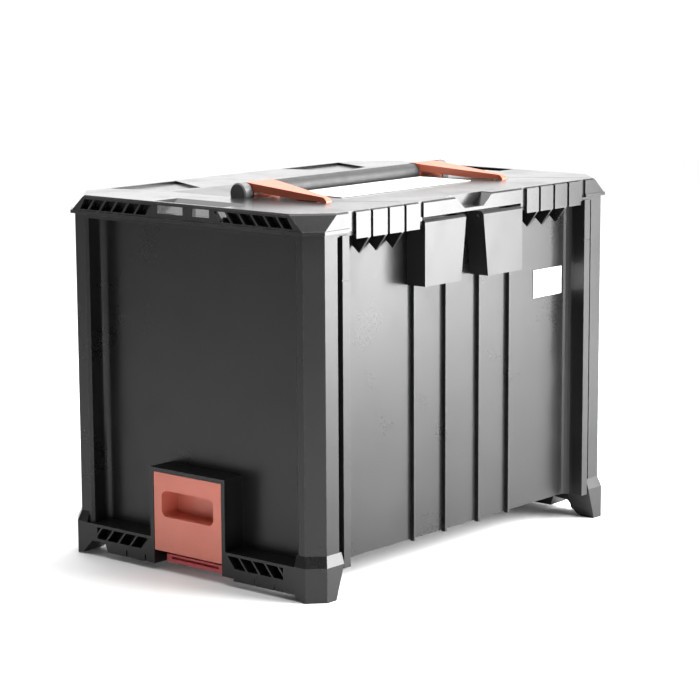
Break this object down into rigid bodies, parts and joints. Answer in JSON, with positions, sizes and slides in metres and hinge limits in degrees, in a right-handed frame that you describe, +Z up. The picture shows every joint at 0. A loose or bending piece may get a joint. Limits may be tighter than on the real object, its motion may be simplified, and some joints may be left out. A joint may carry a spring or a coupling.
{
  "type": "stackable system case",
  "caption": "Black stackable storage case with a hinged lid, two front latches, a fold-down top handle and a sliding coupler on each short side.",
  "frame": {"origin": "centre of the case's footprint on the plane its four feet stand on", "axes": "+X to the right along the long side, +Y to the rear (hinge side), the latches face -Y, +Z up"},
  "size_m": [0.443, 0.312, 0.3516],
  "materials": {
    "case_black": "semi-gloss moulded black plastic",
    "lid_black": "glossier moulded black plastic",
    "latch_black": "semi-gloss black plastic",
    "slider_red": "red-orange moulded plastic",
    "tongue_red": "deep red moulded plastic",
    "arm_red": "red-orange moulded plastic",
    "grip_rubber": "soft black grip",
    "cap_grey": "dark grey plastic",
    "pin_steel": "plain steel pin",
    "label_white": "blank white sticker"
  },
  "bodies": {
    "case_body": {"body_shell": "case_black", "front_label": "label_white", "hinge_pin_left": "pin_steel", "hinge_pin_right": "pin_steel"},
    "slider_left": {"slider_left": "slider_red", "slider_tongue_left": "tongue_red"},
    "slider_right": {"slider_right": "slider_red", "slider_tongue_right": "tongue_red"},
    "lid": {"lid_shell": "lid_black", "lid_label": "label_white", "latch_pin_left": "pin_steel", "latch_pin_right": "pin_steel", "handle_pin_left": "pin_steel", "handle_pin_right": "pin_steel"},
    "latch_left": {"latch_left": "latch_black"},
    "latch_right": {"latch_right": "latch_black"},
    "handle": {"handle_grip": "grip_rubber", "handle_arm_left": "arm_red", "handle_arm_right": "arm_red", "handle_ring_left": "grip_rubber", "handle_ring_right": "grip_rubber", "handle_cap_left": "cap_grey", "handle_cap_right": "cap_grey"}
  },
  "joints": [
    {"name": "lid_hinge", "type": "hinge", "parent": "case_body", "child": "lid", "pos_m": [0, 0.1535, 0.3225], "axis": [-1, 0, 0], "range_deg": [0, 100]},
    {"name": "latch_left_hinge", "type": "hinge", "parent": "lid", "child": "latch_left", "pos_m": [0, -0.1492, 0.317], "axis": [-1, 0, 0], "range_deg": [0, 85]},
    {"name": "latch_right_hinge", "type": "hinge", "parent": "lid", "child": "latch_right", "pos_m": [0, -0.1492, 0.317], "axis": [-1, 0, 0], "range_deg": [0, 85]},
    {"name": "handle_hinge", "type": "hinge", "parent": "lid", "child": "handle", "pos_m": [0, -0.087, 0.3372], "axis": [1, 0, 0], "range_deg": [0, 90]},
    {"name": "slider_left_slide", "type": "slide", "parent": "case_body", "child": "slider_left", "axis": [0, 0, -1], "range_m": [0, 0.015]},
    {"name": "slider_right_slide", "type": "slide", "parent": "case_body", "child": "slider_right", "axis": [0, 0, -1], "range_m": [0, 0.015]}
  ]
}
